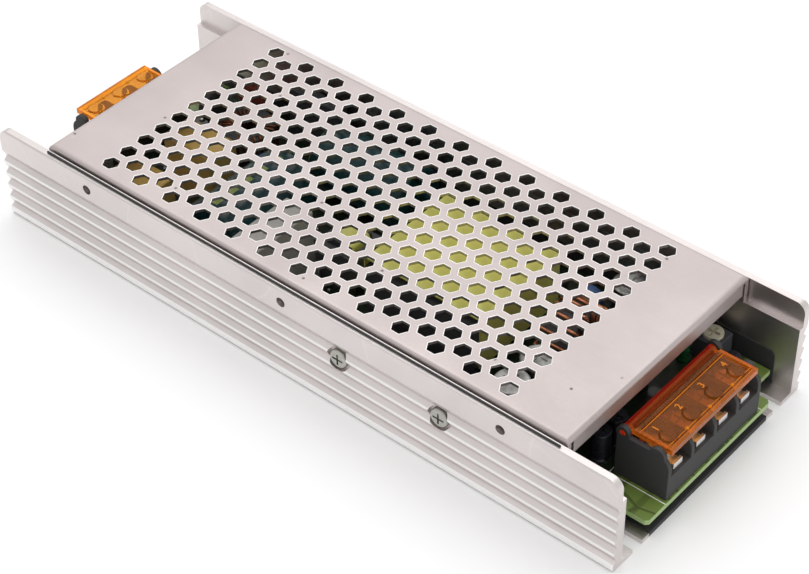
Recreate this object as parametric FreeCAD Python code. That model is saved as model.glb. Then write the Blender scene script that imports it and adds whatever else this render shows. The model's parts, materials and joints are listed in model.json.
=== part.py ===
import FreeCAD, Part
import math
import os

# Slim enclosed switching power supply: ribbed aluminium channel, perforated snap-in cover,
# circuit board and a barrier terminal block with a flip cover at each end.
# All sizes in mm. +X points to the output end, +Y across the case, +Z up.
# The origin is the centre of the footprint, on the underside of the channel's floor.

os.makedirs("parts", exist_ok=True)

# ---------------------------------------------------------------- driving dimensions
channel_length = 207.0
channel_width = 80.0
wall_height = 29.7
floor_thickness = 1.2
rib_count = 4
rib_depth = 1.3
lower_wall = 3.7            # wall thickness over the rib tips, below the ledge
upper_wall = 2.2            # wall thickness above the ledge
ledge_drop = 7.0            # from the wall's top down to the cover ledge

cover_thickness = 1.0
cover_proud = 1.3           # cover's top above the walls' top
cover_end_open = 16.8       # channel length left open at each end
cover_shift = 0.4           # cover sits slightly towards the output end
cover_side_gap = 0.45
cover_end_flange = 5.4
hole_pitch = 6.43
hole_across_flats = 4.5
hole_shift = -0.8

board_thickness = 1.6
board_lift = 4.4            # underside of the board above the channel's underside
film_thickness = 0.3

terminal_pitch = 9.5
output_poles = 4
input_poles = 3
screw_travel = 2.5          # how far a terminal screw backs out with its clamp plate

slot_spacing_y = 60.0
slot_width = 3.8
slot_depth = 7.0

# ---------------------------------------------------------------- named clearances
running_gap = 0.05          # shaft in a hole, radial
cover_pin_gap = 0.25        # flip cover to the cheeks of its block
board_wall_gap = 0.7
fold_gap = 0.4

# ---------------------------------------------------------------- derived levels
half_length = channel_length / 2
half_width = channel_width / 2
inner_half = half_width - lower_wall
upper_inner_half = half_width - upper_wall
ledge_z = wall_height - ledge_drop
cover_top = wall_height + cover_proud
board_z = board_lift + board_thickness
headroom = cover_top - cover_thickness - board_z

# The electronics are laid out for a case of this size and follow it when it changes.
layout_length, layout_half_width, layout_headroom = 207.0, 36.3, 24.0
kx = channel_length / layout_length
ky = inner_half / layout_half_width
kz = headroom / layout_headroom
kr = min(kx, ky, kz)

V = FreeCAD.Vector
X_AXIS, Y_AXIS, Z_AXIS = V(1, 0, 0), V(0, 1, 0), V(0, 0, 1)


# ---------------------------------------------------------------- helpers
def box(x0, x1, y0, y1, z0, z1):
    """Return a box between two corners."""
    return Part.makeBox(x1 - x0, y1 - y0, z1 - z0, V(x0, y0, z0))


def rod(radius, length, base, axis=Z_AXIS):
    """Return a cylinder from its base centre along an axis."""
    return Part.makeCylinder(radius, length, V(*base), axis)


def fuse(shapes):
    """Return one solid from overlapping or touching shapes."""
    shapes = list(shapes)
    joined = shapes[0].multiFuse(shapes[1:]) if len(shapes) > 1 else shapes[0]
    return joined.removeSplitter()


def cut(shape, tools):
    """Return the shape with every tool taken out of it."""
    return shape.cut(Part.makeCompound(list(tools)))


def prism(points, direction):
    """Return the prism swept from a closed polygon of points along a direction."""
    wire = Part.makePolygon([V(*p) for p in points] + [V(*points[0])])
    return Part.Face(wire).extrude(direction)


def edges_along(shape, axis, where=lambda c: True):
    """Return the straight edges parallel to an axis whose centre passes a test."""
    found = []
    for edge in shape.Edges:
        if edge.Curve.TypeId != "Part::GeomLine" or not where(edge.CenterOfMass):
            continue
        if abs(edge.tangentAt(edge.FirstParameter).dot(axis)) > 0.999:
            found.append(edge)
    return found


def rounded_box(x0, x1, y0, y1, z0, z1, radius):
    """Return a box with every edge rounded except those of its base."""
    solid = box(x0, x1, y0, y1, z0, z1)
    keep = [e for e in solid.Edges if e.CenterOfMass.z > z0 + 1e-6]
    return solid.makeFillet(radius, keep)


def mirror_y(shape):
    """Return the shape reflected to the other side wall."""
    return shape.mirror(V(0, 0, 0), Y_AXIS)


def save(name, shapes):
    """Write one node's solids to its STEP file."""
    shapes = shapes if isinstance(shapes, list) else [shapes]
    shape = shapes[0] if len(shapes) == 1 else Part.makeCompound(shapes)
    shape.exportStep("parts/" + name + ".step")


# ---------------------------------------------------------------- extruded channel
rib_bottom = 3.3
rib_pitch = (ledge_z - 3.0 - rib_bottom) / rib_count
rib_steep = 1.2
tip_flat = 0.3
outer_radius = 1.2
band_slope = 2.6
top_chamfer = 0.4
wall_end_radius = 3.0

snap_x = 69.6 * kx
snap_z = wall_height - 4.0
snap_hole_radius = 1.4
wall_screw_x = [18.3 * kx, 50.6 * kx]
wall_screw_z = ledge_z - 5.8
wall_screw_radius = 1.5
wall_head_radius = 2.75
wall_head_height = 1.5
pocket_radius = 3.4
pocket_depth = 1.75

tab_y = slot_spacing_y / 2 * channel_width / 80.0
film_end_half = tab_y - slot_width / 2 - 2.9
floor_recess = 2.0

standoff_y = inner_half - 5.3
standoff_points = [
    (half_length - 11.5, -standoff_y),
    (half_length - 27.5, standoff_y),
    (-half_length + 11.5, -standoff_y),
    (-half_length + 11.5, standoff_y),
]
standoff_radius = 3.0
standoff_shank = 2.1


def half_profile():
    """Return the outline of one half of the extrusion, from the floor's middle and back."""
    root_y = half_width - rib_depth
    points = [(0, 0), (half_width - outer_radius, 0)]
    for step in range(1, 5):
        turn = math.radians(90.0 * step / 4)
        points.append((half_width - outer_radius + outer_radius * math.sin(turn),
                       outer_radius - outer_radius * math.cos(turn)))
    points += [(half_width, rib_bottom - 0.9), (root_y, rib_bottom)]
    for rib in range(rib_count):
        next_root = rib_bottom + (rib + 1) * rib_pitch
        points += [(half_width, next_root - rib_steep - tip_flat),
                   (half_width, next_root - rib_steep), (root_y, next_root)]
    points += [(half_width, ledge_z - 3.0 + band_slope), (half_width, wall_height - top_chamfer),
               (half_width - top_chamfer, wall_height), (upper_inner_half, wall_height),
               (upper_inner_half, ledge_z), (inner_half, ledge_z),
               (inner_half, floor_thickness), (0, floor_thickness)]
    return [(y, z) for y, z in points]


def make_channel():
    """Return the extruded channel with its machined slots, holes and pockets."""
    right = half_profile()
    section = [(-half_length, y, z) for y, z in right]
    section += [(-half_length, -y, z) for y, z in reversed(right)][1:-1]
    solid = prism(section, V(channel_length, 0, 0))
    corners = edges_along(solid, Y_AXIS, lambda c: c.z > wall_height - 1e-3)
    solid = solid.makeFillet(wall_end_radius, corners)
    tools = []
    for side in (-1, 1):
        for end in (-1, 1):
            closed = end * (half_length - slot_depth + slot_width / 2)
            mouth = end * (half_length + 1)
            tools.append(box(min(closed, mouth), max(closed, mouth), side * tab_y - slot_width / 2,
                             side * tab_y + slot_width / 2, -1, floor_thickness + 1))
            tools.append(rod(slot_width / 2, floor_thickness + 2, (closed, side * tab_y, -1)))
        for x in (-snap_x, 0.0, snap_x):
            tools.append(rod(snap_hole_radius, upper_wall + 2, (x, side * (upper_inner_half - 1), snap_z),
                             V(0, side, 0)))
    for end in (-1, 1):
        inner, outer = end * (half_length - floor_recess), end * (half_length + 1)
        tools.append(box(min(inner, outer), max(inner, outer), -film_end_half, film_end_half,
                         -1, floor_thickness + 1))
    for x in wall_screw_x:
        tools.append(rod(pocket_radius, pocket_depth + 1, (x, -half_width - 1, wall_screw_z), Y_AXIS))
        tools.append(rod(wall_screw_radius + 0.2, lower_wall + 2, (x, -half_width - 1, wall_screw_z), Y_AXIS))
    for x, y in standoff_points:
        tools.append(rod(standoff_shank + running_gap, floor_thickness + 2, (x, y, -1)))
    return cut(solid, tools)


save("extruded_channel", make_channel())


# ---------------------------------------------------------------- perforated cover
cover_half_width = upper_inner_half - cover_side_gap
cover_x0 = -half_length + cover_end_open + cover_shift
cover_x1 = half_length - cover_end_open + cover_shift
cover_bend = 1.5
corner_relief = 0.9


def hole_centres():
    """Return the centres of the hexagonal holes, in staggered rows across the cover."""
    row_step = hole_pitch * math.sqrt(3) / 2
    rows = int((cover_x1 - cover_x0 - 39.0) / row_step) + 1
    across = int((2 * cover_half_width - 9.8) / hole_pitch) + 1
    centres = []
    for row in range(rows):
        count = across - row % 2
        x = hole_shift + (row - (rows - 1) / 2) * row_step
        centres += [(x, (i - (count - 1) / 2) * hole_pitch) for i in range(count)]
    return centres


def make_cover():
    """Return the bent sheet cover with holes, corner reliefs and snap dimples."""
    outer = box(cover_x0, cover_x1, -cover_half_width, cover_half_width, ledge_z, cover_top)
    top_edges = [e for e in outer.Edges if e.CenterOfMass.z > cover_top - 1e-3]
    outer = outer.makeFillet(cover_bend, top_edges)
    t = cover_thickness
    inner = box(cover_x0 + t, cover_x1 - t, -cover_half_width + t, cover_half_width - t,
                ledge_z - 1, cover_top - t)
    top_edges = [e for e in inner.Edges if e.CenterOfMass.z > cover_top - t - 1e-3]
    inner = inner.makeFillet(cover_bend - t, top_edges)
    relief_y = cover_half_width - cover_bend
    tools = [inner]
    for x in (cover_x0, cover_x1):
        tools.append(box(x - 2 * t, x + 2 * t, -relief_y, relief_y, ledge_z - 1,
                         cover_top - cover_end_flange))
        for side in (-1, 1):
            middle = side * (relief_y - corner_relief / 2)
            tools.append(box(x - 2 * t, x + 2 * t, middle - corner_relief / 2,
                             middle + corner_relief / 2, ledge_z - 1, cover_top - cover_bend))
    across_points = hole_across_flats / math.sqrt(3)
    for x, y in hole_centres():
        ring = [(x + across_points * math.cos(math.radians(60 * k)),
                 y + across_points * math.sin(math.radians(60 * k)), cover_top - 2 * t)
                for k in range(6)]
        tools.append(prism(ring, V(0, 0, 3 * t)))
    sheet = cut(outer, tools)
    dimples = []
    for side in (-1, 1):
        for x in (-snap_x, 0.0, snap_x):
            start = (x, side * (cover_half_width - t / 2), snap_z)
            dimples.append(Part.makeCone(snap_hole_radius - 0.25, snap_hole_radius - 0.65,
                                         t / 2 + cover_side_gap + 0.7, V(*start), V(0, side, 0)))
    return fuse([sheet] + dimples)


save("perforated_cover", make_cover())


# ---------------------------------------------------------------- film, board and its fixings
tongue_half = tab_y - slot_width / 2 - 1.8
board_half = inner_half - board_wall_gap
board_main = half_length - 6.2
board_end = half_length - 0.1
flap_top = board_z + 6.0 * kz
flap_end = half_length - 5.7


def make_film():
    """Return the insulating film: floor sheet, two side flaps and a lip over each end."""
    t = film_thickness
    bed = floor_thickness
    sheet_half = half_length - slot_depth - 2.0
    pieces = [box(-sheet_half, sheet_half, -inner_half, inner_half, bed, bed + t),
              box(-half_length, half_length, -film_end_half, film_end_half, bed, bed + t)]
    for end in (-1, 1):
        x0, x1 = sorted((end * half_length, end * (half_length - t)))
        pieces.append(box(x0, x1, -film_end_half, film_end_half, 0.0, bed + t))
    for side in (-1, 1):
        y0, y1 = sorted((side * inner_half, side * (inner_half - t)))
        flap = box(-flap_end, flap_end, y0, y1, bed, flap_top)
        corners = edges_along(flap, Y_AXIS, lambda c: c.z > flap_top - 1e-3)
        pieces.append(flap.makeFillet(2.0, corners))
    film = fuse(pieces)
    return cut(film, [rod(standoff_radius + fold_gap, 4, (x, y, bed - 1)) for x, y in standoff_points])


def make_board():
    """Return the circuit board, wide between the slots and narrow at both ends."""
    plate = fuse([box(-board_main, board_main, -board_half, board_half, board_lift, board_z),
                  box(-board_end, board_end, -tongue_half, tongue_half, board_lift, board_z)])
    tips = edges_along(plate, Z_AXIS, lambda c: abs(c.x) > board_end - 1e-3)
    plate = plate.makeChamfer(0.8, tips)
    return cut(plate, [rod(1.6, 4, (x, y, board_lift - 1)) for x, y in standoff_points])


def pan_head(radius, height, base):
    """Return a screw head rounded at its top, with a cross recess."""
    head = rod(radius, height, base)
    rim = [e for e in head.Edges if e.CenterOfMass.z > base[2] + height - 1e-3]
    head = head.makeFillet(height * 0.45, rim)
    arm, width, depth = radius * 0.62, radius * 0.2, height * 0.55
    x, y, top = base[0], base[1], base[2] + height
    return cut(head, [box(x - arm, x + arm, y - width / 2, y + width / 2, top - depth, top + 1),
                      box(x - width / 2, x + width / 2, y - arm, y + arm, top - depth, top + 1)])


standoffs, board_screws = [], []
for x, y in standoff_points:
    post = fuse([rod(standoff_radius, board_lift - floor_thickness, (x, y, floor_thickness)),
                 rod(standoff_shank, floor_thickness + 0.2, (x, y, 0.0))])
    standoffs.append(cut(post, [rod(1.5, board_lift + 2, (x, y, -1))]))
    board_screws.append(fuse([pan_head(2.75, 1.9, (x, y, board_z)),
                              rod(1.45, board_z - 1.0, (x, y, 1.2))]))

save("insulating_film", make_film())
save("circuit_board", make_board())
save("board_standoffs", standoffs)
save("board_screws", board_screws)


# ---------------------------------------------------------------- terminal blocks
# Each block is drawn with its back at x = 0, its wire side towards +X and its base at z = 0.
block_depth = 15.3
block_inset = 0.6           # front of the block behind the end of the channel
cheek = 1.4
barrier = 1.3
deck_z = 7.3
nose_radius = 4.0
hinge_x = 1.6
hinge_bar_radius = 1.3
hinge_pin_radius = 0.8
ear_radius = 1.9
lug_x, lug_radius = 11.6, 2.2
screw_x = 8.0
contact_thickness = 0.8
# Each contact plate narrows to a tongue whose end is turned up at the mouth of its bay.
tongue_width, tongue_lip, lip_height = 3.6, 0.8, 1.6
washer_size, washer_thickness = 6.8, 1.0
screw_radius = 1.75
head_radius, head_height = 3.0, 2.0
# The flip cover clears a terminal screw that is backed all the way out.
plate_under = deck_z + contact_thickness + washer_thickness + head_height + screw_travel + 0.2
plate_top, rim_top = plate_under + 1.2, plate_under + 1.6
plate_front = 14.8
cheek_top, hinge_z = plate_under - 0.3, plate_under + 0.4


def block_width(poles):
    """Return the overall width of a block, over its two cheeks."""
    return poles * terminal_pitch + cheek


def pole_offsets(poles):
    """Return the y position of each pole's screw."""
    return [(i - (poles - 1) / 2) * terminal_pitch for i in range(poles)]


def web(y, thickness, back_height, top, back=0.0):
    """Return an upright wall of the block with a rounded front corner."""
    outline = box(back, block_depth, y - thickness / 2, y + thickness / 2, 0, top)
    nose = edges_along(outline, Y_AXIS, lambda c: c.x > block_depth - 1e-3 and c.z > top - 1e-3)
    outline = outline.makeFillet(nose_radius, nose)
    if back_height < top:
        outline = cut(outline, [box(-1, hinge_x + hinge_bar_radius + 0.6, y - thickness,
                                    y + thickness, back_height, top + 1)])
    return outline


def make_block(poles):
    """Return the moulded body of a barrier terminal block."""
    width = block_width(poles)
    half = width / 2
    back_top = hinge_z - hinge_bar_radius - 0.3
    pieces = [box(0, block_depth, -half, half, 0, deck_z), box(0, cheek, -half, half, 0, back_top)]
    for i in range(1, poles):
        pieces.append(web((i - poles / 2) * terminal_pitch, barrier, back_top, cheek_top, 0.0))
    for side in (-1, 1):
        y = side * (half - cheek / 2)
        pieces.append(web(y, cheek, cheek_top, cheek_top))
        start = (hinge_x, y - cheek / 2, hinge_z)
        pieces.append(rod(ear_radius, cheek, start, Y_AXIS))
        pieces.append(rod(lug_radius, cheek, (lug_x, y - cheek / 2, cheek_top - 0.6), Y_AXIS))
    tools = []
    for outer_face in (-half, half - cheek):
        tools.append(rod(hinge_pin_radius + running_gap, cheek + 0.6,
                         (hinge_x, outer_face - 0.3, hinge_z), Y_AXIS))
    for y in pole_offsets(poles):
        tools.append(rod(screw_radius + 0.35, deck_z, (screw_x, y, 1.4)))
    return cut(fuse(pieces), tools)


def make_contacts(poles):
    """Return the tinned contact plate of every pole, with its tongue and turned-up lip."""
    bay = terminal_pitch - barrier
    front, half_tongue = block_depth - 1.0, tongue_width / 2
    plates = []
    for y in pole_offsets(poles):
        plate = box(2.6, screw_x + washer_size / 2, y - bay / 2 + 0.35, y + bay / 2 - 0.35,
                    deck_z, deck_z + contact_thickness)
        tongue = box(screw_x, front, y - half_tongue, y + half_tongue, deck_z, deck_z + contact_thickness)
        lip = box(front - tongue_lip, front, y - half_tongue, y + half_tongue, deck_z, deck_z + lip_height)
        whole = fuse([plate, tongue, lip])
        plates.append(cut(whole, [rod(screw_radius + running_gap, 3, (screw_x, y, deck_z - 1))]))
    return plates


def make_washer(y):
    """Return one square clamp plate with turned-down edges, drawn clamped."""
    base = deck_z + contact_thickness
    half = washer_size / 2
    plate = box(screw_x - half, screw_x + half, y - half, y + half, base, base + washer_thickness)
    plate = plate.makeChamfer(0.3, edges_along(plate, Z_AXIS))
    return cut(plate, [rod(screw_radius + running_gap, 3, (screw_x, y, base - 1))])


def make_terminal_screw(y):
    """Return one terminal screw, drawn tightened."""
    under = deck_z + contact_thickness + washer_thickness
    return fuse([pan_head(head_radius, head_height, (screw_x, y, under)),
                 rod(screw_radius, 6.6, (screw_x, y, under - 6.5))])


def make_flip_cover(poles):
    """Return the clear flip cover with its hinge bar, pins, rims and pole domes."""
    half = block_width(poles) / 2 - cheek - cover_pin_gap
    bar = rod(hinge_bar_radius, 2 * half, (hinge_x, -half, hinge_z), Y_AXIS)
    pins = rod(hinge_pin_radius, 2 * (half + cover_pin_gap + cheek - 0.2),
               (hinge_x, -(half + cover_pin_gap + cheek - 0.2), hinge_z), Y_AXIS)
    web_piece = box(hinge_x, 4.2, -half, half, plate_under, plate_under + 0.8)
    plate = box(3.9, plate_front, -half, half, plate_under, plate_top)
    rims = [box(3.9, 4.9, -half, half, plate_top - 0.2, rim_top),
            box(plate_front - 1.0, plate_front, -half, half, plate_top - 0.2, rim_top),
            box(3.9, plate_front, -half, -half + 1.0, plate_top - 0.2, rim_top),
            box(3.9, plate_front, half - 1.0, half, plate_top - 0.2, rim_top)]
    domes = [Part.makeCone(2.6, 2.0, 0.5, V(11.0, y, plate_top - 0.1)) for y in pole_offsets(poles)]
    return fuse([bar, pins, web_piece, plate] + rims + domes)


def place_block(shape, end):
    """Return a block part moved to the output end (+1) or the input end (-1)."""
    moved = shape.copy()
    moved.translate(V(half_length - block_inset - block_depth, end_shift[end], board_z))
    if end < 0:
        moved.rotate(V(0, 0, 0), Z_AXIS, 180)
    return moved


end_shift = {1: 1.6, -1: 0.0}   # the output block sits a little to +Y of the middle
for label, end, poles in (("output", 1, output_poles), ("input", -1, input_poles)):
    save(label + "_terminal_block", place_block(make_block(poles), end))
    save(label + "_terminal_cover", place_block(make_flip_cover(poles), end))
    save(label + "_contact_plates", [place_block(p, end) for p in make_contacts(poles)])
    for number, y in enumerate(pole_offsets(poles), 1):
        save("%s_washer_%d" % (label, number), place_block(make_washer(y), end))
        save("%s_screw_%d" % (label, number), place_block(make_terminal_screw(y), end))


# ---------------------------------------------------------------- trimmer, lamp, small capacitors
trimmer_x, trimmer_y = half_length - 21.0, inner_half - 5.4
trimmer_half = 3.7
trimmer_top = board_z + 7.0
rotor_radius, rotor_sink, rotor_proud = 2.7, 2.0, 0.9

trimmer_body = cut(
    rounded_box(trimmer_x - trimmer_half, trimmer_x + trimmer_half, trimmer_y - trimmer_half,
                trimmer_y + trimmer_half, board_z, trimmer_top, 0.4),
    [rod(rotor_radius + running_gap, 5, (trimmer_x, trimmer_y, trimmer_top - rotor_sink))])
rotor = rod(rotor_radius, rotor_sink + rotor_proud, (trimmer_x, trimmer_y, trimmer_top - rotor_sink))
rotor_top = trimmer_top + rotor_proud
rotor = cut(rotor, [
    box(trimmer_x - 1.9, trimmer_x + 1.9, trimmer_y - 0.4, trimmer_y + 0.4, rotor_top - 0.8, rotor_top + 1),
    box(trimmer_x - 0.4, trimmer_x + 0.4, trimmer_y - 1.9, trimmer_y + 1.9, rotor_top - 0.8, rotor_top + 1)])
save("trimmer_body", trimmer_body)
save("trimmer_rotor", rotor)

lamp_x, lamp_y = half_length - 25.5, trimmer_y - 5.9
save("status_led", fuse([rod(1.9, 1.0, (lamp_x, lamp_y, board_z)),
                         rod(1.5, 3.6, (lamp_x, lamp_y, board_z + 0.9)),
                         Part.makeSphere(1.5, V(lamp_x, lamp_y, board_z + 4.5))]))


def can_capacitor(radius, height, x, y):
    """Return an upright can capacitor with a rolled groove and a vented top."""
    body = rod(radius, height, (x, y, board_z))
    rims = [e for e in body.Edges if abs(e.CenterOfMass.z - board_z - height) < 1e-3]
    body = body.makeFillet(radius * 0.12, rims)
    groove = Part.makeTorus(radius + 0.25, 0.6, V(x, y, board_z + height * 0.12))
    top = board_z + height
    arm, score = radius * 0.55, radius * 0.06
    return cut(body, [groove,
                      box(x - arm, x + arm, y - score, y + score, top - 0.25, top + 1),
                      box(x - score, x + score, y - arm, y + arm, top - 0.25, top + 1)])


# The smallest capacitor stands between the output block and the wall.
beside_block = end_shift[1] + block_width(output_poles) / 2 + 2.1 + 0.3
save("small_capacitors", [can_capacitor(2.1, 6.5, half_length - 12.9, max(inner_half - 8.3, beside_block)),
                          can_capacitor(2.6, 9.0, half_length - 21.5, -16.0 * ky),
                          can_capacitor(2.6, 9.0, half_length - 21.5, -9.5 * ky)])


# ---------------------------------------------------------------- transformers
def make_transformer(x, y, length, width, height):
    """Return core, bobbin, winding and covering tape of an E-core transformer.

    The core lies flat with its legs along Y; x, y is the middle and height is to the tape's top.
    """
    x, y = x * kx, y * ky
    length, width, height = length * kx, width * ky, height * kz
    tape = 0.4
    half_l, half_w = length / 2 - tape, width / 2
    rail = 0.22 * height
    bulge = 0.12 * height
    core_z0, core_z1 = board_z + rail, board_z + height - tape - bulge
    leg, side_leg, back = 0.28 * length, 0.14 * length, 0.15 * width
    window = (x - half_l + side_leg, x - leg / 2), (x + leg / 2, x + half_l - side_leg)
    core = cut(box(x - half_l, x + half_l, y - half_w, y + half_w, core_z0, core_z1),
               [box(a, b, y - half_w + back, y + half_w - back, core_z0 - 1, core_z1 + 1)
                for a, b in window])
    gap, wall = 0.1, 0.7
    tube = (x - leg / 2 - gap - wall, x + leg / 2 + gap + wall)
    tube_z = (core_z0 - gap - wall, core_z1 + gap + wall)
    flange_in = half_w - back - gap - wall
    wind = (x - half_l + side_leg + 0.6, x + half_l - side_leg - 0.6)
    wind_z = (core_z0 - bulge, core_z1 + bulge)
    winding = box(wind[0], wind[1], y - flange_in, y + flange_in, wind_z[0], wind_z[1])
    hollow = box(tube[0], tube[1], y - flange_in - 1, y + flange_in + 1, tube_z[0], tube_z[1])
    winding = cut(winding, [hollow])
    winding = winding.makeFillet(1.2 * kr, edges_along(
        winding, Y_AXIS, lambda c: abs(c.x - x) > leg and abs(c.z - (wind_z[0] + wind_z[1]) / 2) > 2 * kr))
    leg_space = box(x - leg / 2 - gap, x + leg / 2 + gap, y - half_w, y + half_w,
                    core_z0 - gap, core_z1 + gap)
    sleeve = box(tube[0], tube[1], y - flange_in, y + flange_in, tube_z[0], tube_z[1])
    flanges = [box(wind[0], wind[1], y + s * flange_in - (wall if s < 0 else 0),
                   y + s * flange_in + (wall if s > 0 else 0), board_z, wind_z[1]) for s in (-1, 1)]
    rails = [box(x - half_l + 1, x + half_l - 1, min(a, b), max(a, b), board_z, core_z0)
             for a, b in ((y - flange_in - wall, y - half_w), (y + flange_in + wall, y + half_w))]
    bobbin = cut(fuse([sleeve] + flanges + rails), [leg_space])
    outer = box(x - half_l - tape, x + half_l + tape, y - half_w + 0.3, y + half_w - 0.3,
                core_z0, wind_z[1] + tape)
    outer = outer.makeFillet(1.0 * kr, edges_along(outer, Y_AXIS, lambda c: c.z > wind_z[1]))
    cover = cut(outer, [box(x - half_l, x + half_l, y - half_w, y + half_w, core_z0 - 1, wind_z[1])])
    return core, bobbin, winding, cover


core, bobbin, winding, tape_cover = make_transformer(24.5, 1.5, 38.0, 33.0, 21.0)
save("transformer_core", core)
save("transformer_bobbin", bobbin)
save("transformer_winding", winding)
save("transformer_tape", tape_cover)
core, bobbin, winding, tape_cover = make_transformer(-8.0, -5.0, 14.0, 12.5, 15.0)
save("auxiliary_core", core)
save("auxiliary_bobbin", bobbin)
save("auxiliary_winding", winding)


# ---------------------------------------------------------------- chokes
def ring(outer, inner, thickness, rounding):
    """Return a ring about Z, centred on the origin, with rounded edges."""
    solid = rod(outer, thickness, (0, 0, -thickness / 2)).cut(
        rod(inner, thickness + 2, (0, 0, -thickness / 2 - 1)))
    circles = [e for e in solid.Edges if e.Curve.TypeId == "Part::GeomCircle"]
    return solid.makeFillet(rounding, circles)


choke_x, choke_y = 58.0 * kx, 4.3 * ky
choke_outer = 10.4 * min(ky, kz)
choke_z = board_z + choke_outer + 0.4
wire = 1.1
choke_thickness = 11.0 * kx
choke_core = ring(choke_outer - wire, choke_outer * 0.42 + wire, choke_thickness - 2 * wire, 0.5)
choke_shell = ring(choke_outer, choke_outer * 0.42, choke_thickness, 1.6 * kr).cut(
    ring(choke_outer - wire, choke_outer * 0.42 + wire, choke_thickness - 2 * wire, 0.5))
for name, shape in (("output_choke_core", choke_core), ("output_choke_winding", choke_shell)):
    shape.rotate(V(0, 0, 0), Y_AXIS, 90)
    shape.translate(V(choke_x, choke_y, choke_z))
    if name.endswith("winding"):
        feet = [rod(0.55, 3.6 * kz, (choke_x + side * (choke_thickness / 2 - 2.2), choke_y + side * 4.0 * ky,
                                     board_z)) for side in (-1, 1)]
        inside = choke_core.copy()
        shape = cut(fuse([shape] + feet), [inside])
    else:
        choke_core = shape
    save(name, shape)

line_x, line_y = -66.0 * kx, 17.0 * ky
line_outer = 9.2 * min(kx, ky)
line_height = 9.6 * kz
line_base = 1.0
line_z = board_z + line_base + line_height / 2
line_core = ring(line_outer - wire, line_outer * 0.34 + wire, line_height - 2 * wire, 0.4)
line_shell = ring(line_outer, line_outer * 0.34, line_height, 1.2 * kr).cut(line_core)
gate = box(-2.4, 2.4, -line_outer - 1, line_outer + 1, -line_height, line_height)
line_shell = line_shell.cut(gate)
windings = line_shell.Solids
for shape in [line_core] + windings:
    shape.translate(V(line_x, line_y, line_z))
save("line_choke_core", line_core)
save("line_choke_windings", windings)
line_stand = fuse([rod(line_outer, line_base, (line_x, line_y, board_z)),
                   box(line_x - 1.6, line_x + 1.6, line_y - line_outer + 1.5, line_y + line_outer - 1.5,
                       board_z, board_z + line_base + wire)])
save("line_choke_base", line_stand)


# ---------------------------------------------------------------- input parts
def boxed(x, y, size_x, size_y, size_z, rounding=0.7):
    """Return a moulded box component standing on the board, laid out by its middle."""
    x, y, size_x, size_y, size_z = x * kx, y * ky, size_x * kx, size_y * ky, size_z * kz
    return rounded_box(x - size_x / 2, x + size_x / 2, y - size_y / 2, y + size_y / 2,
                       board_z, board_z + size_z, rounding)


def disc(x, y, radius, thickness, axis, lift=1.6):
    """Return a dipped disc component on two wire legs, its axis along X or Y."""
    x, y, radius, thickness = x * kx, y * ky, radius * kr, thickness * kr
    centre_z = board_z + lift + radius
    base = (x - thickness / 2 * axis.x, y - thickness / 2 * axis.y, centre_z)
    body = rod(radius, thickness, base, axis)
    body = body.makeFillet(thickness * 0.35, [e for e in body.Edges if e.Curve.TypeId == "Part::GeomCircle"])
    step = radius * 0.5
    legs = [rod(0.35, lift + radius * 0.7, (x + s * step * axis.y, y + s * step * axis.x, board_z))
            for s in (-1, 1)]
    return fuse([body] + legs)


save("x_capacitors", [boxed(-66.0, -1.5, 18.0, 10.5, 16.0), boxed(-69.0, -21.0, 16.0, 9.0, 14.0)])
save("box_capacitor", boxed(-22.8, -19.0, 9.4, 22.5, 19.0, 0.5))
save("y_capacitors", [disc(-53.5, 10.5, 3.6, 3.0, X_AXIS), disc(-55.5, -31.0, 3.6, 3.0, Y_AXIS),
                      disc(49.5, 24.0, 3.6, 3.0, Y_AXIS)])
save("varistor", disc(-76.0, 30.3, 5.6, 4.2, Y_AXIS))
save("thermistor", disc(-82.5, 20.5, 5.0, 4.0, X_AXIS))

fuse_x, fuse_y, fuse_radius, fuse_half = -71.5 * kx, -30.6 * ky, 2.6, 10.0 * kx
fuse_z = board_z + fuse_radius + 1.6
save("fuse_tube", fuse([rod(fuse_radius - 0.25, 2 * fuse_half, (fuse_x - fuse_half, fuse_y, fuse_z), X_AXIS),
                        rod(fuse_radius, 5.0, (fuse_x - fuse_half, fuse_y, fuse_z), X_AXIS),
                        rod(fuse_radius, 5.0, (fuse_x + fuse_half - 5.0, fuse_y, fuse_z), X_AXIS)]))
clips = []
for side in (-1, 1):
    x = fuse_x + side * (fuse_half - 2.5)
    cradle = box(x - 1.8, x + 1.8, fuse_y - fuse_radius - 0.5, fuse_y + fuse_radius + 0.5,
                 board_z, fuse_z + 1.4)
    clips.append(cut(cradle, [rod(fuse_radius, 8, (x - 4, fuse_y, fuse_z), X_AXIS),
                              box(x - 3, x + 3, fuse_y - fuse_radius * 0.8, fuse_y + fuse_radius * 0.8,
                                  fuse_z, fuse_z + 5)]))
save("fuse_clips", clips)
save("bridge_rectifier", fuse([boxed(-52.0, 31.6, 19.0, 3.8, 17.5, 0.4),
                               boxed(-52.0, 31.6, 17.0, 1.2, 3.0, 0.2)]))


def lying_capacitor(x, y, radius, length, axis):
    """Return a large can capacitor lying on the board, with bent wire legs at its sealed end."""
    radius, length = radius * kr, length * (kx if axis.x else ky)
    x, y = x * kx, y * ky
    z = board_z + radius
    base = (x - length / 2 * axis.x, y - length / 2 * axis.y, z)
    body = rod(radius, length, base, axis)
    body = body.makeFillet(radius * 0.12, [e for e in body.Edges if e.Curve.TypeId == "Part::GeomCircle"])
    end = length / 2 + 1.4
    legs = []
    for s in (-1, 1):
        shift = s * radius * 0.3
        px, py = x + end * axis.x + shift * axis.y, y + end * axis.y + shift * axis.x
        legs.append(rod(0.6, z - board_z + 0.6, (px, py, board_z)))
        legs.append(rod(0.45, 2.6, (px - 2.6 * axis.x, py - 2.6 * axis.y, z), axis))
    seat = box(x - 3 * kr, x + 3 * kr, y - 3 * kr, y + 3 * kr, board_z, board_z + radius * 0.3)
    return fuse([body, seat] + legs)


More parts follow.
